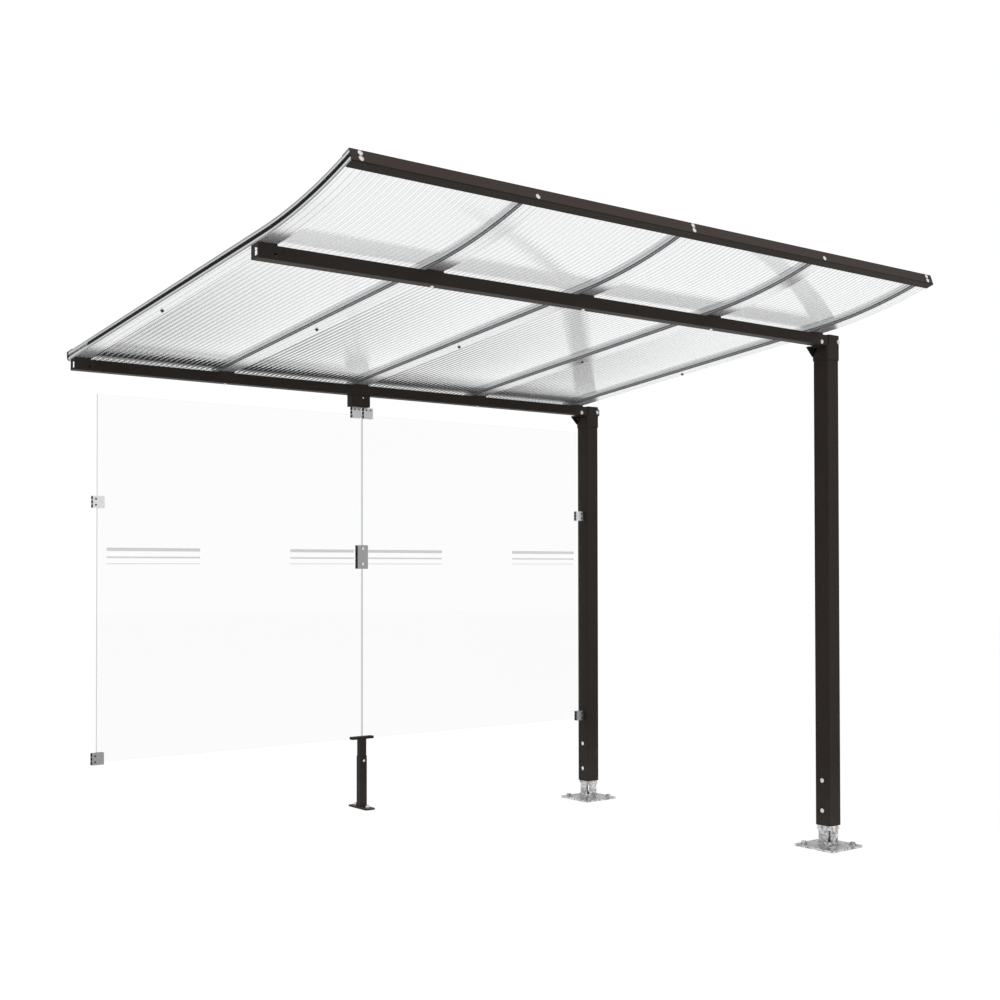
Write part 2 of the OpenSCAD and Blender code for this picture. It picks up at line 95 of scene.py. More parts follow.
def colour(name, default, text):
    """A linear colour that a user may change."""
    return FloatVectorProperty(name=name, description=text, default=default, size=3,
                               min=0.0, max=1.0, subtype="COLOR")


class ShelterSizes(bpy.types.PropertyGroup):
    """Sizes of the pieces that are added to the frame"""
    bend_radius: length("Bend radius", 2.09,
                        "Radius of the roof's curved part, at the ribs' underside")
    bend_start: length("Bend start", 0.054,
                       "Where the curve starts, in front of the front post's axis")
    rib_gap: length("Rib gap", 0.0006, "Gap between the ribs and the beams' rear top edges")
    rib_height: length("Rib height", 0.0325, "Height of a rib")
    rib_low: length("Rib ledge", 0.012, "Height of a rib below its sheet slot")
    rib_cap: length("Rib cap", 0.016, "Black length at an outer rib's rear end")
    sheet_thick: length("Sheet thickness", 0.0093, "Thickness of the roof sheets")
    flute_pitch: length("Flute pitch", 0.0206, "Width of one flute of a roof sheet")
    flute_gap: length("Web gap", 0.0003, "Gap between the walls of two flutes")
    flute_crown: length("Flute crown", 0.00028, "How far a flute's lower wall bows out")
    flute_round: length("Flute corner", 0.0006, "Corner radius of a flute")
    sheet_play: length("Sheet play", 0.005, "Distance from a sheet's edge to the rib's middle")
    lip_thick: length("Lip thickness", 0.0016, "Thickness of the lips beside the ribs' ledges")
    lip_drop: length("Lip drop", 0.0024, "Height of the lips beside the ribs' ledges")
    channel_depth: length("Front channel depth", 0.034, "Width of the front channel's flanges")
    # The dark line at the front channel's bend is painted shade.
    channel_bend: length("Front channel bend", 0.0024, "Reach of the dark line at its bend")
    seal_end: length("Seal end", 0.20, "Bare length of the outer slots at the roof's rear end")
    pad_thick: length("Pad thickness", 0.0009, "How far pads, heads and washers stand out")
    stripe_proud: length("Stripe thickness", 0.0004, "Thickness of the stripes on the glass")


class ShelterColours(bpy.types.PropertyGroup):
    """Colours of the finishes"""
    paint: colour("Paint", (0.0300, 0.0235, 0.0200), "Satin powder coat of the frame")
    zinc: colour("Zinc", (0.48, 0.48, 0.485), "Galvanised feet")
    aluminium: colour("Aluminium", (0.985, 0.99, 0.995), "Extruded ribs")
    # The ribs' grey sides are painted shade, and the outer ribs' lighter sides are painted light.
    rib_side: colour("Rib side", (0.30, 0.31, 0.32), "Sides of the ribs between the sheets")
    rib_outside: colour("Rib outside", (0.56, 0.57, 0.58), "Outer sides of the first and last rib")
    bolt: colour("Bolt steel", (0.78, 0.78, 0.78), "Bolts and screws")
    black_screw: colour("Black screws", (0.045, 0.045, 0.047), "Screws under the ribs")
    clamp: colour("Clamp steel", (0.56, 0.56, 0.57), "Glass clamps and joint plate")
    rubber: colour("Rubber", (0.004, 0.004, 0.0045), "Seals beside the roof sheets")
    lip: colour("Lip", (0.10, 0.10, 0.105), "Lips between the ribs and the sheets")
    stripe: colour("Stripe", (0.86, 0.865, 0.86), "Stripes on the glass")
    ground: colour("Ground", (0.80, 0.80, 0.80), "Floor under the shelter")


# ---- shader maths ----------------------------------------------------------

class Wire:
    """A shader socket that can stand in a Python expression; each operator adds a Math node."""

    def __init__(self, net, socket):
        self.net, self.socket = net, socket

    def math(self, operation, a, b=0.0):
        return self.net.node("Math", {"operation": operation}, {0: a, 1: b})

    def __add__(self, other): return self.math("ADD", self, other)
    def __radd__(self, other): return self.math("ADD", other, self)
    def __sub__(self, other): return self.math("SUBTRACT", self, other)
    def __rsub__(self, other): return self.math("SUBTRACT", other, self)
    def __mul__(self, other): return self.math("MULTIPLY", self, other)
    def __rmul__(self, other): return self.math("MULTIPLY", other, self)
    def __truediv__(self, other): return self.math("DIVIDE", self, other)
    def __pow__(self, other): return self.math("POWER", self, other)
    def __gt__(self, other): return self.math("GREATER_THAN", self, other)
    def __lt__(self, other): return self.math("LESS_THAN", self, other)
    def __abs__(self): return self.math("ABSOLUTE", self)
    def peak(self, other): return self.math("MAXIMUM", self, other)
    def cap(self, other): return self.math("MINIMUM", self, other)


class Net:
    """The node tree of one material or of the world."""

    def __init__(self, owner):
        owner.use_nodes = True
        self.owner, self.tree = owner, owner.node_tree
        self.tree.nodes.clear()

    def node(self, kind, settings=None, sockets=None, out=0):
        """Adds a node, gives it its settings and then the values or links of its sockets."""
        made = self.tree.nodes.new("ShaderNode" + kind)
        for key, value in (settings or {}).items():
            if key == "stops":
                ramp = made.color_ramp
                while len(ramp.elements) < len(value):
                    ramp.elements.new(0.5)
                for element, (place, level) in zip(ramp.elements, value):
                    element.position = place
                    element.color = (level, level, level, 1.0)
            else:
                setattr(made, key, value)
        for key, value in (sockets or {}).items():
            if isinstance(value, Wire):
                self.tree.links.new(value.socket, made.inputs[key])
            else:
                made.inputs[key].default_value = value
        return Wire(self, made.outputs[out])

    def place(self, stretch=(1.0, 1.0, 1.0), turn=(0.0, 0.0, 0.0)):
        """Object coordinates in metres, stretched and turned."""
        point = self.node("TexCoord", out="Object")
        return self.node("Mapping", None, {"Vector": point, "Scale": stretch, "Rotation": turn})

    def axis(self, letter):
        """One of the object coordinates, in metres."""
        point = self.node("TexCoord", out="Object")
        return self.node("SeparateXYZ", None, {0: point}, letter)

    def facing(self, letter):
        """One component of the object's own normal."""
        normal = self.node("TexCoord", out="Normal")
        return self.node("SeparateXYZ", None, {0: normal}, letter)

    def near(self, letters, centre, reach):
        """1 within reach of a line through centre; letters are the two axes across it."""
        a, b = [self.axis(letter) - place for letter, place in zip(letters, centre)]
        return a * a + b * b < reach ** 2

    def outside(self):
        """1 where a face is met from outside and 0 from within its solid."""
        return 1.0 - self.node("NewGeometry", out="Backfacing")

    def noise(self, scale, detail=3.0, rough=0.5, at=None):
        """Fractal noise from 0 to 1."""
        return self.node("TexNoise", {"noise_dimensions": "3D"},
                         {"Vector": at or self.place(), "Scale": scale, "Detail": detail,
                          "Roughness": rough})

    def ramp(self, value, *stops):
        """A value carried through stops of (place, level)."""
        return self.node("ValToRGB", {"stops": stops}, {0: value})

    def blend(self, share, a, b):
        """Colour a where share is 0 and colour b where it is 1."""
        a, b = [c if isinstance(c, Wire) else (*c[:3], 1.0) for c in (a, b)]
        return self.node("Mix", {"data_type": "RGBA"}, {0: share, 6: a, 7: b}, 2)

    def shade(self, base, level):
        """A colour made lighter or darker by a level round 1."""
        base = base if isinstance(base, Wire) else (*base[:3], 1.0)
        grey = self.node("CombineColor", None, {0: level, 1: level, 2: level})
        return self.node("Mix", {"data_type": "RGBA", "blend_type": "MULTIPLY"},
                         {0: 1.0, 6: base, 7: grey}, 2)

    def bump(self, height, strength, distance):
        """A normal from a height; distance is in metres."""
        return self.node("Bump", None,
                         {"Height": height, "Strength": strength, "Distance": distance}, "Normal")

    def principled(self, **sockets):
        """A Principled shader; an underscore in a name stands for a space."""
        return self.node("BsdfPrincipled", None,
                         {key.replace("_", " "): value for key, value in sockets.items()})

    def mixed(self, share, under, over):
        """Ends the tree in a mix of two shaders; share is that of the second."""
        return self.surface(self.node("MixShader", None, {0: share, 1: under, 2: over}))

    def surface(self, shader):
        """Ends the tree in its output and returns the material or world."""
        kind = "OutputWorld" if isinstance(self.owner, bpy.types.World) else "OutputMaterial"
        made = self.tree.nodes.new("ShaderNode" + kind)
        self.tree.links.new(shader.socket, made.inputs["Surface"])
        return self.owner


def material(name):
    """An empty tree for a material of that name."""
    return Net(bpy.data.materials.new(name))


# ---- finishes --------------------------------------------------------------

def powder_coat(name, base, crease=None):
    """Satin powder coat: fine orange peel, cloudy tone, dust, and a dark gloss at a grazing view
    that is painted shade on the rims.

    The dust lies low on the posts. Faces that look up are painted lighter, as painted light
    from above. crease is the (y, z, reach) of a bend along X, where a dark line of painted
    shade stands in for the shading of its tight outer radius.
    """
    net = material(name)
    cloud = net.noise(5.0, 4.0)
    peel = net.noise(1400.0, 2.0)
    scuff = net.ramp(net.noise(60.0, 6.0, 0.7, net.place((1.0, 1.0, 0.25))),
                     (0.62, 0.0), (0.74, 1.0))
    dust = net.ramp(net.axis("Z"), (0.08, 1.0), (0.35, 0.0)) * net.noise(18.0, 5.0)
    tone = net.shade(base, 0.8 + 0.4 * cloud)
    tone = net.blend(dust * 0.10 + scuff * 0.015, tone, (0.30, 0.27, 0.24))
    upward = net.facing("Z")
    # painted light: faces that look up are painted lighter and redder, as if lit from above
    tone = net.blend(net.ramp(upward, (0.15, 0.0), (0.32, 0.095)), tone, (0.32, 0.235, 0.22))
    if crease:
        y, z, reach = crease
        # painted shade: a near-black line along the bend stands in for the shading of its outer
        # radius
        tone = net.blend(net.near("YZ", (y, z), reach) * 0.75, tone, (0.003, 0.0025, 0.002))
    coat = net.principled(
        Base_Color=tone, Roughness=0.40 + 0.10 * cloud + 0.12 * scuff + 0.08 * peel,
        Specular_IOR_Level=0.06, Normal=net.bump(peel, 0.12, 0.0004))
    # painted shade: a near-black gloss at a grazing view darkens the rims of faces that do not
    # look up or down
    film = net.node("BsdfAnisotropic", None,
                    {"Color": (0.03, 0.026, 0.024, 1.0), "Roughness": 0.30})
    grazing = net.node("LayerWeight", None, {"Blend": 0.5}, "Facing")
    gloss = net.ramp(grazing, (0.48, 0.0), (0.72, 0.92)) * (abs(upward) < 0.4)
    return net.mixed(gloss, coat, film)


def galvanised(base):
    """Hot-dip zinc: spangles of two sizes, each with its own tone, dull patches, and painted shade
    on faces that look up.
    """
    net = material("galvanised zinc")
    big, small = [net.node("SeparateColor", None, {
        0: net.node("TexVoronoi", {"feature": "F1"}, {"Vector": net.place(), "Scale": scale},
                    "Color")}) for scale in (110.0, 300.0)]
    spangle = big * 0.6 + small * 0.4
    patch = net.ramp(net.noise(14.0, 5.0, 0.6), (0.42, 0.0), (0.66, 1.0))
    # painted shade: faces that look up are darker (0.78), the others lighter (1.10)
    flat = 1.10 - 0.32 * (net.facing("Z") > 0.7)
    tone = net.blend(patch * 0.2, net.shade(base, (0.10 + 1.80 * spangle) * flat),
                     (0.60, 0.60, 0.58))
    return net.surface(net.principled(
        Base_Color=tone, Metallic=0.85 - 0.35 * patch,
        Roughness=0.34 + 0.16 * spangle + 0.14 * patch,
        Normal=net.bump(spangle * 0.5 + net.noise(420.0) * 0.5, 0.16, 0.0005)))


def clamp_steel(base):
    """Brushed steel: fine lines along X, cloudy, painted shade low down and painted light high up,
    with two bolt heads painted bright.
    """
    net = material("clamp steel")
    lines = net.noise(1.0, 3.0, 0.6, net.place((30.0, 600.0, 600.0)))
    cloud = net.noise(7.0, 3.0)
    # painted shade and light: darker below about 1.18 m, lighter from about 1.25 m up
    dull = net.ramp(net.axis("Z") / 2.0, (0.40, 0.55), (0.592, 0.56), (0.625, 1.25), (0.84, 1.05))
    low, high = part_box("joint_plate")
    # two bolt heads on the joint plate, painted 1.7 times as bright, a painted glint
    for height in (low.z + 0.020, high.z - 0.014):
        dull = dull.peak(1.7 * net.near("XZ", ((low.x + high.x) / 2, height), 0.0055))
    return net.surface(net.principled(
        Base_Color=net.shade(base, dull * (0.88 + 0.12 * lines + 0.10 * cloud)),
        Metallic=0.85, Roughness=0.30 + 0.10 * lines + 0.06 * cloud,
        Normal=net.bump(lines, 0.10, 0.0003)))


def height_on_rib(net, line):
    """Height above the ribs' underside in metres, worked out from the object coordinates.

    line is (slope, radius, bend y, bend z). Behind the bend it is the distance from the
    sloping line, before it the radius less the distance from the curve's centre.
    """
    slope, radius, bend_y, bend_z = line
    y, z = net.axis("Y") - bend_y, net.axis("Z") - bend_z
    along = y * math.cos(slope) - z * math.sin(slope)
    straight = y * math.sin(slope) + z * math.cos(slope)
    curved = radius - (along * along + (radius - straight) * (radius - straight)) ** 0.5
    behind = along > 0.0
    return straight * behind + curved * (1.0 - behind)


def rib_metal(tint, sizes):
    """Extruded aluminium: bright rolled underside, fine draw lines, and sides painted grey in
    bands as painted shade, the outer ribs' sides lighter as painted light.

    The outermost sides are black where the seal's lips lie, from the seals' rear end
    forwards, and at the cap on their own rear end.
    """
    net = material("rib aluminium")
    lines = net.noise(1.0, 3.0, 0.6, net.place((520.0, 3.0, 520.0)))
    cloud = net.noise(7.0, 3.0)
    flank = abs(net.facing("X")) > 0.7
    left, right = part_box(RIBS[0])[0].x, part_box(RIBS[-1])[1].x
    outer = abs(net.axis("X") - (left + right) / 2) > (right - left) / 2 - 0.001
    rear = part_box(RIBS[0])[1].y
    height = height_on_rib(net, bend_line(sizes)) / sizes.rib_height
    sealed = net.axis("Y") < rear - sizes.seal_end
    capped = net.axis("Y") > rear - sizes.rib_cap
    slot = net.ramp(height, (0.31, 0.0), (0.33, 1.0), (0.70, 1.0), (0.72, 0.0))
    black = outer * (sealed * slot).peak(outer * capped)
    # painted shade: the sides darken towards their top and bottom edges
    bands = (1.0 - 0.985 * black) * net.ramp(
        height, (0.12, 0.45), (0.20, 1.0), (0.84, 0.96), (0.90, 0.45))
    # painted shade: the sides are grey, and the outer ribs' sides are painted lighter as painted
    # light
    side = net.blend(outer, tint.rib_side, tint.rib_outside)
    tone = net.blend(flank, net.shade(tint.aluminium, 0.98 + 0.02 * lines),
                     net.shade(side, bands * (0.9 + 0.2 * lines)))
    metal = net.principled(
        Base_Color=tone, Metallic=1.0 - 0.3 * flank,
        Roughness=0.20 + 0.06 * lines + 0.04 * cloud + 0.15 * flank,
        Normal=net.bump(lines, 0.05, 0.0003))
    bloom = net.node("BsdfDiffuse", None, {0: (0.97, 0.975, 0.98, 1.0)})
    return net.mixed(0.20 * (1.0 - flank), metal, bloom)


def bolt_steel(name, base):
    """Plated steel: small mottled tone, with painted shade: a dark gloss at a grazing view darkens
    rims and hollows.
    """
    net = material(name)
    mottle = net.noise(520.0, 4.0, 0.6)
    metal = net.principled(
        Base_Color=net.shade(base, 0.80 + 0.36 * mottle), Metallic=0.95,
        Roughness=0.12 + 0.16 * mottle, Normal=net.bump(mottle, 0.12, 0.0003))
    # painted shade: a near-black gloss at a grazing view darkens the heads' rims and sockets
    film = net.node("BsdfAnisotropic", None,
                    {"Color": (0.04, 0.04, 0.04, 1.0), "Roughness": 0.30})
    grazing = net.node("LayerWeight", None, {"Blend": 0.5}, "Facing")
    return net.mixed(net.ramp(grazing, (0.50, 0.0), (0.80, 0.9)), metal, film)


def rubber(name, base):
    """Rubber: matt, with a fine pebble and a grey bloom."""
    net = material(name)
    pebble = net.noise(900.0, 2.0)
    bloom = net.noise(24.0, 4.0)
    return net.surface(net.principled(
        Base_Color=net.blend(bloom * 0.04, base, (0.12, 0.12, 0.12)),
        Roughness=0.70 + 0.16 * pebble, Specular_IOR_Level=0.1,
        Normal=net.bump(pebble, 0.2, 0.0004)))


def stripe_print(base):
    """Grey enamel fused on the glass, with a faint screen mottle."""
    net = material("stripe enamel")
    mottle = net.noise(700.0, 3.0)
    return net.surface(net.principled(
        Base_Color=net.shade(base, 0.92 + 0.16 * mottle), Roughness=0.42 + 0.12 * mottle,
        Specular_IOR_Level=0.4))


def pane_glass(name, low, high):
    """Clear toughened glass: it only shows by its gloss, a faint film and its ground edges.

    low and high are the pane's corners, from which the edge band is worked out. The
    edge beside the post stays in the post's shade.
    """
    net = material(name)
    band = 0.0004
    off_x = abs(net.axis("X") - (low.x + high.x) / 2) - (high.x - low.x) / 2
    off_z = abs(net.axis("Z") - (low.z + high.z) / 2) - (high.z - low.z) / 2
    free = net.axis("X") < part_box(PANES[-1])[1].x - 0.01
    edge = ((off_x > -band) * free).peak((off_z > -band) * 0.25)
    film = net.ramp(net.noise(1.3, 3.0, 0.5), (0.35, 0.0), (0.75, 1.0))
    smear = net.noise(40.0, 4.0, 0.6)
    clear = net.node("BsdfTransparent", None,
                     {0: net.blend(edge, (0.981, 0.981, 0.982), (0.78, 0.80, 0.80))})
    gloss = net.principled(Base_Color=net.blend(edge, (0.80, 0.81, 0.82), (0.50, 0.53, 0.53)),
                           Roughness=0.04 + 0.05 * smear + 0.25 * edge, IOR=1.5)
    open_face = 1.0 - (abs(net.facing("X")) > 0.5) * (1.0 - free)
    mirror = net.node("Fresnel", None, {"IOR": 1.35}) * 0.5
    share = (0.006 + 0.012 * film + 0.55 * edge + mirror) * open_face * net.outside()
    return net.mixed(share, clear, gloss)


def opal(net, level):
    """A white body: light that falls on either side, and a painted glow: an emission for light
    scattered inside it.
    """
    near = net.node("BsdfDiffuse", None, {0: level})
    # painted glow: an emission of strength 1.4 stands in for light scattered inside the plastic
    inside = net.node("Emission", None, {0: level, 1: 1.4})
    return net.node("MixShader", None, {0: 0.6, 1: near, 2: inside})


def flute_lines(net, start, pitch):
    """Soft lines along the flutes' borders, from 0 to 1; start is a sheet's left edge."""
    across = (net.axis("X") - start) / pitch
    across = net.node("Math", {"operation": "FRACT"}, {0: across})
    return net.ramp(abs(across - 0.5) * 2.0, (0.28, 0.0), (0.64, 1.0), (0.84, 1.0), (1.0, 0.30))


def end_shadow(net, line, rear):
    """Painted shade: a dark band near a sheet's rear end, with a tooth at each web.

    It is dark from 0.165 m to 0.055 m before the end, starts later between the webs,
    and carries on to the end at the webs only.
    """
    before = rear - net.axis("Y")
    tooth = net.ramp(line, (0.25, 0.0), (0.60, 1.0))
    start = net.ramp((before + 0.06 * (1.0 - tooth)) * 5.0, (0.78, 1.0), (0.83, 0.0))
    stop = net.ramp(before * 5.0, (0.25, 1.0), (0.31, 0.0))
    return start * (1.0 - stop * (1.0 - 0.75 * tooth)) * (0.70 + 0.30 * tooth)


def sheet_skin(name, low, high, pitch):
    """Outer faces of an opal ribbed sheet: part clear, part milky, with a gloss outside.

    The webs behind the wall show as soft grey lines, which painted shade deepens in the rear left
    corner.
    """
    net = material(name + " skin")
    haze = net.noise(3.0, 4.0, 0.55, net.place((1.0, 0.3, 1.0)))
    # painted shade: the lines deepen near the sheet's left side and towards its rear
    corner = (net.ramp(net.axis("X") - low.x, (0.05, 1.0), (0.50, 0.0))
              * net.ramp(net.axis("Y"), (0.0, 0.0), (1.0, 1.0)))
    line = flute_lines(net, low.x, pitch)
    # level also carries the painted shade of the band at the rear end
    level = (1.0 - line * (0.17 + 0.08 * haze + 0.50 * corner)) * (
        1.0 - end_shadow(net, line, high.y))
    clear = net.node("BsdfTransparent", None, {0: net.shade((0.992, 0.994, 0.994, 1.0), level)})
    mirror = net.principled(Base_Color=net.shade((0.99, 0.995, 1.0, 1.0), level),
                            Metallic=1.0, Roughness=0.06 + 0.05 * haze)
    gloss = net.ramp(net.axis("Y"), (0.1, 1.0), (0.9, 0.74)) * 1.35
    share = (net.node("Fresnel", None, {"IOR": 1.58}) * gloss).cap(0.92)
    # the milky part carries the painted glow of opal()
    milk = opal(net, net.shade((0.97, 0.975, 0.98, 1.0), level))
    body = net.node("MixShader", None, {0: 0.22 + 0.08 * haze, 1: clear, 2: milk})
    return net.mixed(net.outside() * share, body, mirror)


def sheet_web():
    """Webs between the flutes: opal plastic seen edge on, a little grey."""
    net = material("sheet web")
    haze = net.noise(3.0, 4.0, 0.55, net.place((1.0, 0.3, 1.0)))
    clear = net.node("BsdfTransparent", None, {0: (0.988, 0.99, 0.99, 1.0)})
    # the opal part carries the painted glow of opal()
    return net.mixed(0.03 + 0.06 * haze, clear, opal(net, (0.85, 0.86, 0.865, 1.0)))


# ---- shapes ----------------------------------------------------------------

def new_piece(name, points, faces, finishes, face_finish=None, smooth=False):
    """An object at the origin from whole arrays of points and faces."""
    mesh = bpy.data.meshes.new(name)
    mesh.from_pydata(points.reshape(-1, 3).tolist(), [], faces)
    for finish in finishes:
        mesh.materials.append(finish)
    if face_finish is not None:
        mesh.polygons.foreach_set("material_index", np.asarray(face_finish, np.int32))
    if smooth:
        mesh.shade_smooth()
    mesh.validate()
    mesh.update()
    piece = bpy.data.objects.new(name, mesh)
    bpy.context.scene.collection.objects.link(piece)
    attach(piece, "root")
    return piece


def tube_faces(copies, rings, around):
    """Faces of closed tubes: a grid of quads round each one, and a cap at each end.

    The points are numbered tube by tube, ring by ring, round the section.
    """
    tube, ring, step = np.meshgrid(np.arange(copies), np.arange(rings - 1), np.arange(around),
                                   indexing="ij")
    base = (tube * rings + ring) * around
    after = (step + 1) % around
    quads = np.stack([base + step, base + after, base + around + after, base + around + step], -1)
    first = np.arange(copies)[:, None] * rings * around + np.arange(around)[::-1]
    last = np.arange(copies)[:, None] * rings * around + (rings - 1) * around + np.arange(around)
    return quads.reshape(-1, 4).tolist() + first.tolist() + last.tolist()


def bend_line(sizes):
    """(slope, radius, y, z) of the ribs' underside where its curve starts.

    The slope is that from one beam to the other; the straight part passes a little
    above the front beam's rear top edge.
    """
    front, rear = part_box("middle_beam")[1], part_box("rear_beam")[1]
    slope = math.atan((front.z - rear.z) / (rear.y - front.y))
    z = front.z + sizes.rib_gap + (front.y + sizes.bend_start) * math.tan(slope)
    return slope, sizes.bend_radius, -sizes.bend_start, z


def roof_line(sizes, t, h):
    """(y, z) of the point t along the ribs' underside from its rear end and h above it.

    A straight run up the slope, then an arc that turns upwards: on the arc the
    point lies at the bend radius less h from a centre above the roof.
    """
    s, r, bend_y, bend_z = bend_line(sizes)
    centre_y = bend_y + r * math.sin(s)
    centre_z = bend_z + r * math.cos(s)
    run = straight_run(sizes)
    back = np.minimum(t - run, 0.0)
    turn = s + np.maximum(t - run, 0.0) / r
    y = centre_y - (r - h) * np.sin(turn) - back * math.cos(s)
    z = centre_z - (r - h) * np.cos(turn) + back * math.sin(s)
    return y, z


def straight_run(sizes):
    """Length of the roof's straight part, from the ribs' lowest rear corner to the bend."""
    slope, _, bend_y, _ = bend_line(sizes)
    rear_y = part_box(SHEETS[0])[1].y - (sizes.rib_low + sizes.sheet_thick) * math.sin(slope)
    return (rear_y - bend_y) / math.cos(slope)


def roof_reach(sizes):
    """Whole length of the roof line, found from the sheets' front edge."""
    slope, radius, bend_y, _ = bend_line(sizes)
    centre_y = bend_y + radius * math.sin(slope)
    turn = math.asin((centre_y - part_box(SHEETS[0])[0].y) / (radius - sizes.rib_low))
    return straight_run(sizes) + (turn - slope) * radius


def channel_crease(sizes):
    """(y, z, reach) of the bend between the front channel's face and its lower flange.

    The face is square to the roof line's end, so the bend is the channel's foremost
    point, and the flange falls from it to the channel's lowest point.
    """
    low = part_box("front_edge_channel")[0]
    slope, radius, _, _ = bend_line(sizes)
    turn = slope + (roof_reach(sizes) - straight_run(sizes)) / radius
    return low.y, low.z + sizes.channel_depth * math.sin(turn), sizes.channel_bend


def roof_stations(sizes, rear=0.0, front=0.0):
    """Places along the roof line: few on the straight run, close together on the arc."""
    run, end = straight_run(sizes), roof_reach(sizes)
    return np.concatenate([np.linspace(rear, run, 9)[:-1], np.linspace(run, end - front, 25)])


def along_roof(sizes, sections, stations):
    """Points of sections (copies, around, 2) of x and h carried along the roof line."""
    x, h = sections[:, None, :, 0], sections[:, None, :, 1]
    t = stations[None, :, None]
    y, z = roof_line(sizes, t, h)
    return np.stack([np.broadcast_to(x, y.shape), y, z], -1)


def carried(outlines, axis, start, end):
    """Flat outlines (copies, around, 2) carried along axis "x" or "y" from start to end.

    An outline's two numbers are the other two coordinates, in their usual order.
    """
    parts = [outlines[:, None, :, 0], outlines[:, None, :, 1]]
    parts.insert("xy".index(axis), np.array([start, end])[None, :, None])
    return np.stack(np.broadcast_arrays(*parts), -1)


def circles(centres, radius, steps):
    """Circles round centres, anticlockwise: radius times the cosine and sine of a turn."""
    turn = np.linspace(0.0, 2 * math.pi, steps + 1)[:-1]
    return np.array(centres)[:, None, :] + radius * np.stack([np.cos(turn), np.sin(turn)], -1)


def rounded(x0, x1, y0, y1, radius, steps):
    """Outline of a rounded rectangle, anticlockwise: four quarter circles joined by lines."""
    a = np.linspace(0.0, math.pi / 2, steps)
    quarter = np.arange(4)[:, None] * math.pi / 2 + a
    cx = np.array([x1 - radius, x0 + radius, x0 + radius, x1 - radius])[:, None]
    cy = np.array([y1 - radius, y1 - radius, y0 + radius, y0 + radius])[:, None]
    outline = np.stack([cx + radius * np.cos(quarter), cy + radius * np.sin(quarter)], -1)
    return outline.reshape(-1, 2)


def flute_outline(width, height, radius, crown):
    """One flute of a twin-wall sheet: a rounded box whose lower wall bows down.

    The bow is a cosine across the lower wall, nothing at its ends and crown in its middle.
    Returns the outline and, for each of its edges, whether it is part of a web.
    """
    box = rounded(-width / 2, width / 2, 0.0, height, radius, 4)
    across = np.linspace(-width / 2 + radius, width / 2 - radius, 7)[1:-1]
    lower = np.stack([across, np.zeros_like(across)], -1)
    outline = np.concatenate([box[:12], lower, box[12:]])
    drop = np.cos(np.pi * outline[:, 0] / (width - 2 * radius)).clip(0.0, 1.0) * crown
    outline[:, 1] += np.where(outline[:, 1] < height / 2, crown - drop, 0.0)
    ahead = np.roll(outline, -1, 0)
    web = np.abs(ahead[:, 0] - outline[:, 0]) < radius
    return outline, web


# ---- operators -------------------------------------------------------------

def sizes_of(context):
    return context.scene.shelter_sizes


def colours_of(context):
    return context.scene.shelter_colours


class SHELTER_OT_finishes(bpy.types.Operator):
    """Give every part of the frame its finish"""
    bl_idname = "shelter.finishes"
    bl_label = "Frame finishes"

    def execute(self, context):
        tint, sizes = colours_of(context), sizes_of(context)
        for names, finish in (
                (PAINTED, powder_coat("powder coat", tint.paint)),
                (["front_edge_channel"],
                 powder_coat("channel coat", tint.paint, channel_crease(sizes))),
                (GALVANISED, galvanised(tint.zinc)),
                (RIBS, rib_metal(tint, sizes)),
                (BOLTS, bolt_steel("bolt steel", tint.bolt)),
                (BLACK_SCREWS, bolt_steel("black screw", tint.black_screw)),
                (CLAMPS, clamp_steel(tint.clamp))):
            for name in names:
                self.paint(name, finish)
        for name in PANES:
            self.paint(name, pane_glass(name.replace("_", " "), *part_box(name)))
        return {"FINISHED"}

    @staticmethod
    def paint(name, finish):
        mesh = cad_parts[name].data
        mesh.materials.clear()
        mesh.materials.append(finish)


class SHELTER_OT_roof_sheets(bpy.types.Operator):
    """Build the fluted twin-wall roof sheets"""
    bl_idname = "shelter.roof_sheets"
    bl_label = "Roof sheets"

    def execute(self, context):
        sizes = sizes_of(context)
        web = sheet_web()
        for name in SHEETS:
            low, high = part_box(name)
            count = round((high.x - low.x) / sizes.flute_pitch)
            pitch = (high.x - low.x) / count
            outline, is_web = flute_outline(pitch - sizes.flute_gap, sizes.sheet_thick,
                                            sizes.flute_round, sizes.flute_crown)
            centres = low.x + pitch * (np.arange(count) + 0.5)
            sections = np.stack([centres[:, None] + outline[:, 0],
                                 np.broadcast_to(sizes.rib_low + outline[:, 1],
                                                 (count, len(outline)))], -1)
            stations = roof_stations(sizes, SHEET_END, SHEET_END)
            points = along_roof(sizes, sections, stations)
            faces = tube_faces(count, len(stations), len(outline))
            finish = np.concatenate([np.tile(is_web, count * (len(stations) - 1)),
                                     np.zeros(2 * count, bool)])
            skin = sheet_skin(name.replace("_", " "), low, high, pitch)
            piece = new_piece(name.replace("roof", "fluted"), points, faces, [skin, web],
                              finish)
            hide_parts(name)
        return {"FINISHED"}


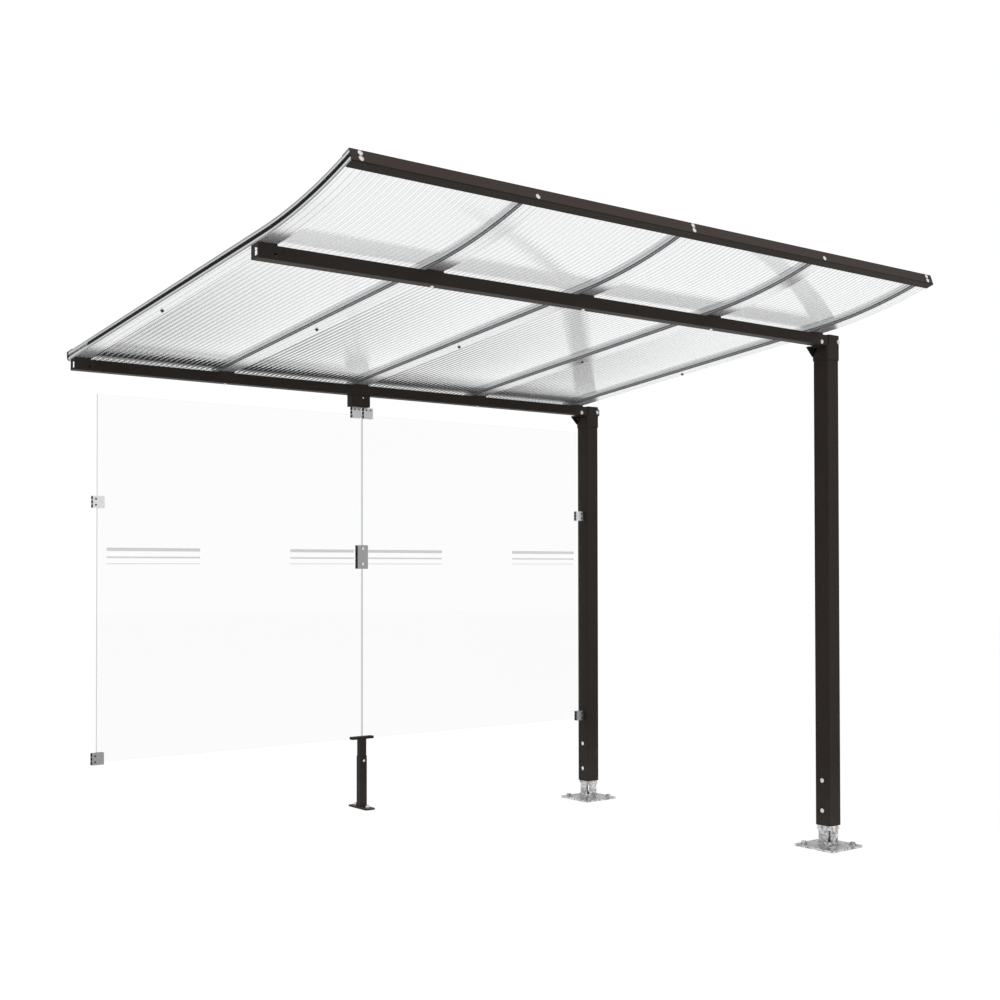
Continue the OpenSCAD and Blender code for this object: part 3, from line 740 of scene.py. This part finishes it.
class SHELTER_OT_seals(bpy.types.Operator):
    """Build the rubber seals in the ribs"""
    bl_idname = "shelter.seals"
    bl_label = "Roof seals"

    SEAL_DEPTH, SEAL_ROUND, INSET, LIFT, END = 0.012, 0.002, 0.0003, 0.0002, 0.001

    def execute(self, context):
        sizes, tint = sizes_of(context), colours_of(context)
        black, grey = rubber("outer rubber", tint.rubber), rubber("lip rubber", tint.lip)
        low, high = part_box(RIBS[0])
        overlap = (high.x - low.x) / 2 - sizes.sheet_play
        foot = sizes.rib_low + self.LIFT
        edge = roof_stations(sizes, sizes.seal_end, self.END)
        for name, side in ((RIBS[0], -1), (RIBS[-1], 1)):
            low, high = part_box(name)
            face = low.x if side < 0 else high.x
            across = sorted((face - side * self.SEAL_DEPTH, face - side * self.INSET))
            outline = rounded(*across, foot, foot + sizes.sheet_thick, self.SEAL_ROUND, 4)
            new_piece(name.replace("roof", "outer_seal"),
                      along_roof(sizes, outline[None], edge),
                      tube_faces(1, len(edge), len(outline)), [black])
        stations = roof_stations(sizes, self.END, self.END)
        for name in SHEETS:
            low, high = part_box(name)
            lips = np.stack([self.lip(sizes, low.x + overlap, 1),
                             self.lip(sizes, high.x - overlap, -1)])
            new_piece(name.replace("roof_sheet", "sheet_seals"),
                      along_roof(sizes, lips, stations),
                      tube_faces(2, len(stations), lips.shape[1]), [grey])
        return {"FINISHED"}

    @staticmethod
    def lip(sizes, x, side):
        """A lip that hangs beside a rib's ledge at x, on its left (-1) or right side (1)."""
        across = sorted((x + side * TOUCH, x + side * (TOUCH + sizes.lip_thick)))
        return rounded(*across, sizes.rib_low - sizes.lip_drop, sizes.rib_low - TOUCH, 0.0007, 4)


class SHELTER_OT_fittings(bpy.types.Operator):
    """Build the clamps' rubber pads and black screws, the washers and a black disc of painted
    shade in the beam's hole
    """
    bl_idname = "shelter.fittings"
    bl_label = "Small fittings"

    CLAMP, THICK, GLASS, PAD_EDGE = 0.044, 0.016, 0.008, 0.0004
    BLOCKS = ((0.001, 0.013), (0.016, 0.028), (0.031, 0.043))
    SCREWS = {"left_clamps": ((0.26, 0.25), (0.26, 0.75)),
              "post_clamps": ((0.74, 0.25), (0.74, 0.75)),
              "hanger_clamps": ((0.28, 0.80), (0.72, 0.80))}
    SCREW_RADIUS, WASHER_RADIUS, LOCK_HEIGHTS = 0.0035, 0.0115, (0.142, 0.258)
    PLUG_AT, PLUG_RADIUS, PLUG_BACK, PLUG_FRONT = (0.054, 0.015), 0.0044, 0.00225, 0.00085

    def execute(self, context):
        proud = sizes_of(context).pad_thick
        tint = colours_of(context)
        black = rubber("pad rubber", tint.rubber)
        for name, glazed in (("left", 0.0), ("post", self.CLAMP), ("hanger", self.GLASS + 0.006)):
            for number, place in enumerate(self.sides(name + "_clamps"), 1):
                self.slabs(f"{name}_pads_{number}", place[0], self.blocks(place, glazed),
                           proud, black)
        low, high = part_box("joint_plate")
        inner, outer, rim = 0.0053, 0.0098, 0.002
        self.slabs("joint_pads", low.x, [
            (low.y + inner, low.y + outer, low.z + rim, high.z - rim),
            (high.y - outer, high.y - inner, low.z + rim, high.z - rim)], proud, black)
        self.screws(proud, bolt_steel("black button head", tint.black_screw))
        self.washers(proud, black)
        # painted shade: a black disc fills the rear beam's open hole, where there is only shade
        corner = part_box("rear_beam")[0]
        centre = corner.x + self.PLUG_AT[0], corner.z + self.PLUG_AT[1]
        self.plates("beam_plug", circles([centre], self.PLUG_RADIUS, 24), "y",
                    corner.y + self.PLUG_BACK, corner.y + self.PLUG_FRONT, black)
        return {"FINISHED"}

    @staticmethod
    def plates(name, outlines, axis, start, end, finish):
        """Plates with the given outlines, from start to end along an axis."""
        new_piece(name, carried(outlines, axis, start, end),
                  tube_faces(len(outlines), 2, outlines.shape[1]), [finish])

    def sides(self, name):
        """(x, middle y, foot z) of the left side of each clamp in a node of two."""
        low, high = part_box(name)
        middle = (low.y + high.y) / 2
        if high.z - low.z < 2 * self.CLAMP:
            return [(low.x, middle, low.z), (high.x - self.CLAMP, middle, low.z)]
        return [(low.x, middle, low.z), (low.x, middle, high.z - self.CLAMP)]

    def blocks(self, place, glazed):
        """(y0, y1, z0, z1) of three pads up a clamp's side.

        Those that end below the height glazed are split round the glass.
        """
        _, y, z = place
        half, clear = self.THICK / 2 - self.PAD_EDGE, self.GLASS / 2 + TOUCH
        bars = []
        for foot, head in self.BLOCKS:
            parts = ((-half, -clear), (clear, half)) if head <= glazed else ((-half, half),)
            bars += [(y + near, y + far, z + foot, z + head) for near, far in parts]
        return bars

    def slabs(self, name, x, bars, proud, finish):
        """Rounded pads on a face at x that looks along -X."""
        outlines = np.stack([rounded(*bar, 0.0006, 3) for bar in bars])
        self.plates(name, outlines, "x", x - proud, x - TOUCH, finish)

    def screws(self, proud, finish):
        """Two button heads on the front of each clamp, where the CAD has its holes."""
        for name, spots in self.SCREWS.items():
            centres = [(x + self.CLAMP * across, z + self.CLAMP * up)
                       for x, _, z in self.sides(name) for across, up in spots]
            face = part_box(name)[0].y
            self.plates(name.replace("clamps", "clamp_heads"),
                        circles(centres, self.SCREW_RADIUS, 24), "y",
                        face - TOUCH, face - proud, finish)

    def washers(self, proud, finish):
        """Black washers under the posts' lock bolts, on the side that looks along -X; their dark
        ring round each head is partly painted shade.
        """
        for name in ("front_post", "rear_post"):
            low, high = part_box(name)
            centres = [((low.y + high.y) / 2, height) for height in self.LOCK_HEIGHTS]
            # black washers: their ring round each bolt head is partly painted shade
            self.plates(name + "_washers", circles(centres, self.WASHER_RADIUS, 32), "x",
                        low.x - proud, low.x - TOUCH, finish)


class SHELTER_OT_stripes(bpy.types.Operator):
    """Build the plain grey stripes on the glass"""
    bl_idname = "shelter.stripes"
    bl_label = "Glass stripes"

    OFF_GLASS = 0.00002
    HEIGHTS = ((0.7720, 0.0122), (0.7430, 0.0060), (0.7195, 0.0026))
    RUNS = {"glass_left": ((0.035, 0.403), (0.790, 1.086)),
            "glass_right": ((0.028, 0.401), (0.787, 1.152))}

    def execute(self, context):
        sizes = sizes_of(context)
        grey = stripe_print(colours_of(context).stripe)
        for name, runs in self.RUNS.items():
            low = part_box(name)[0]
            bars = np.stack([
                rounded(low.x + x0, low.x + x1, low.z + z - thick / 2, low.z + z + thick / 2,
                        0.001, 4) for x0, x1 in runs for z, thick in self.HEIGHTS])
            points = carried(bars, "y", low.y - self.OFF_GLASS, low.y - sizes.stripe_proud)
            new_piece(name.replace("glass", "stripes"), points,
                      tube_faces(len(bars), 2, bars.shape[1]), [grey])
        return {"FINISHED"}


class SHELTER_OT_stage(bpy.types.Operator):
    """Lay the floor, hang the lamps and stand the camera"""
    bl_idname = "shelter.stage"
    bl_label = "Stage"

    CAMERA_AT = (-4.1967, -3.3697, 1.0783)
    HEADING, PITCH, ROLL = math.radians(-37.598), math.radians(0.854), math.radians(-0.088)
    LENS, SENSOR, SHIFT = 48.49, 36.0, 0.04825
    FLOOR_AT, FLOOR_REACH, FLOOR_DROP = (-1.2, 0.6), 30.0, 0.0005
    LIGHT, EXTRA_SEEN, FLOOR_GLOW, FLOOR_GLOW_SHARE = 0.66, 0.36, 1.08, 0.86

    def execute(self, context):
        self.floor(colours_of(context).ground)
        self.world(context.scene)
        self.lamps()
        self.camera(context.scene)
        view = context.scene.view_settings
        view.view_transform = "Standard"
        return {"FINISHED"}

    @staticmethod
    def seen(net):
        """1 for a ray from the camera, a gloss or a clear body, and 0 for light on surfaces."""
        seen = net.node("LightPath", out="Is Camera Ray")
        for ray in ("Is Glossy Ray", "Is Transmission Ray"):
            seen = seen.peak(net.node("LightPath", out=ray))
        return seen

    def floor(self, ground):
        """A disc whose radius grows evenly, just below the base plates."""
        rings, around, (middle_x, middle_y) = 12, 96, self.FLOOR_AT
        turn = np.linspace(0.0, 2 * math.pi, around + 1)[:-1]
        reach = np.linspace(0.0, self.FLOOR_REACH, rings + 1)[1:]
        x = reach[:, None] * np.cos(turn) + middle_x
        y = reach[:, None] * np.sin(turn) + middle_y
        height = CAD_BOX[0].z - self.FLOOR_DROP
        points = np.stack([x, y, np.full_like(x, height)], -1).reshape(-1, 3)
        ring, step = np.meshgrid(np.arange(rings - 1), np.arange(around), indexing="ij")
        near, after = ring * around, (step + 1) % around
        far = near + around
        quads = np.stack([near + step, far + step, far + after, near + after], -1)
        mesh = bpy.data.meshes.new("floor")
        mesh.from_pydata(points.tolist(), [],
                         quads.reshape(-1, 4).tolist() + [list(range(around))])
        net = material("pale floor")
        speck = net.noise(90.0, 4.0)
        matt = net.principled(Base_Color=net.shade(ground, 0.97 + 0.06 * speck),
                              Roughness=0.75 + 0.1 * speck, Specular_IOR_Level=0.1)
        glow = net.node("Emission", None, {0: (1.0, 1.0, 1.0, 1.0), 1: self.FLOOR_GLOW})
        mesh.materials.append(net.mixed(self.seen(net) * self.FLOOR_GLOW_SHARE, matt, glow))
        floor = bpy.data.objects.new("floor", mesh)
        bpy.context.scene.collection.objects.link(floor)

    def world(self, scene):
        scene.world = bpy.data.worlds.new("studio")
        net = Net(scene.world)
        net.surface(net.node("Background", None, {
            0: (1.0, 1.0, 1.0, 1.0), 1: self.LIGHT + self.EXTRA_SEEN * self.seen(net)}))

    @staticmethod
    def lamps():
        for name, place, aim, size, power in (
                ("key", (2.5, -6.5, 5.0), (-1.0, 0.3, 1.0), 4.0, 130.0),
                ("fill", (-6.5, 1.5, 4.0), (-1.2, 0.6, 1.0), 4.0, 60.0)):
            lamp = bpy.data.lights.new(name, "AREA")
            lamp.shape, lamp.size, lamp.energy = "DISK", size, power
            holder = bpy.data.objects.new(name, lamp)
            holder.location = place
            holder.rotation_mode = "QUATERNION"
            holder.rotation_quaternion = (Vector(aim) - Vector(place)).to_track_quat("-Z", "Y")
            bpy.context.scene.collection.objects.link(holder)

    def camera(self, scene):
        """Stands at its place, turned by heading, then pitch, then roll."""
        a, t, r = self.HEADING, self.PITCH, self.ROLL
        ahead = Vector((-math.sin(a) * math.cos(t), math.cos(a) * math.cos(t), math.sin(t)))
        level = Vector((math.cos(a), math.sin(a), 0.0))
        steep = level.cross(ahead)
        right = level * math.cos(r) + steep * math.sin(r)
        up = steep * math.cos(r) - level * math.sin(r)
        lens = bpy.data.cameras.new("camera")
        lens.lens, lens.sensor_width, lens.shift_y = self.LENS, self.SENSOR, self.SHIFT
        lens.clip_start, lens.clip_end = 0.05, 100.0
        holder = bpy.data.objects.new("camera", lens)
        turned = Matrix((right, up, -ahead)).transposed().to_4x4()
        holder.matrix_world = Matrix.Translation(self.CAMERA_AT) @ turned
        scene.collection.objects.link(holder)
        scene.camera = holder


class SHELTER_PT_panel(bpy.types.Panel):
    """Buttons for the shelter's pieces and its stage"""
    bl_idname = "SHELTER_PT_panel"
    bl_label = "Shelter"
    bl_space_type = "VIEW_3D"
    bl_region_type = "UI"
    bl_category = "Shelter"

    def draw(self, context):
        for operator in OPERATORS:
            self.layout.operator(operator.bl_idname)
        for group in (sizes_of(context), colours_of(context)):
            column = self.layout.column(align=True)
            for name in group.__annotations__:
                column.prop(group, name)


OPERATORS = (SHELTER_OT_finishes, SHELTER_OT_roof_sheets, SHELTER_OT_seals, SHELTER_OT_fittings,
             SHELTER_OT_stripes, SHELTER_OT_stage)
CLASSES = (ShelterSizes, ShelterColours, *OPERATORS, SHELTER_PT_panel)


def register():
    for cls in CLASSES:
        bpy.utils.register_class(cls)
    bpy.types.Scene.shelter_sizes = PointerProperty(type=ShelterSizes)
    bpy.types.Scene.shelter_colours = PointerProperty(type=ShelterColours)


def unregister():
    del bpy.types.Scene.shelter_colours
    del bpy.types.Scene.shelter_sizes
    for cls in reversed(CLASSES):
        bpy.utils.unregister_class(cls)


def main():
    register()
    bpy.ops.shelter.finishes()
    bpy.ops.shelter.roof_sheets()
    bpy.ops.shelter.seals()
    bpy.ops.shelter.fittings()
    bpy.ops.shelter.stripes()
    bpy.ops.shelter.stage()
    bpy.context.view_layer.update()


if __name__ == "__main__":
    main()
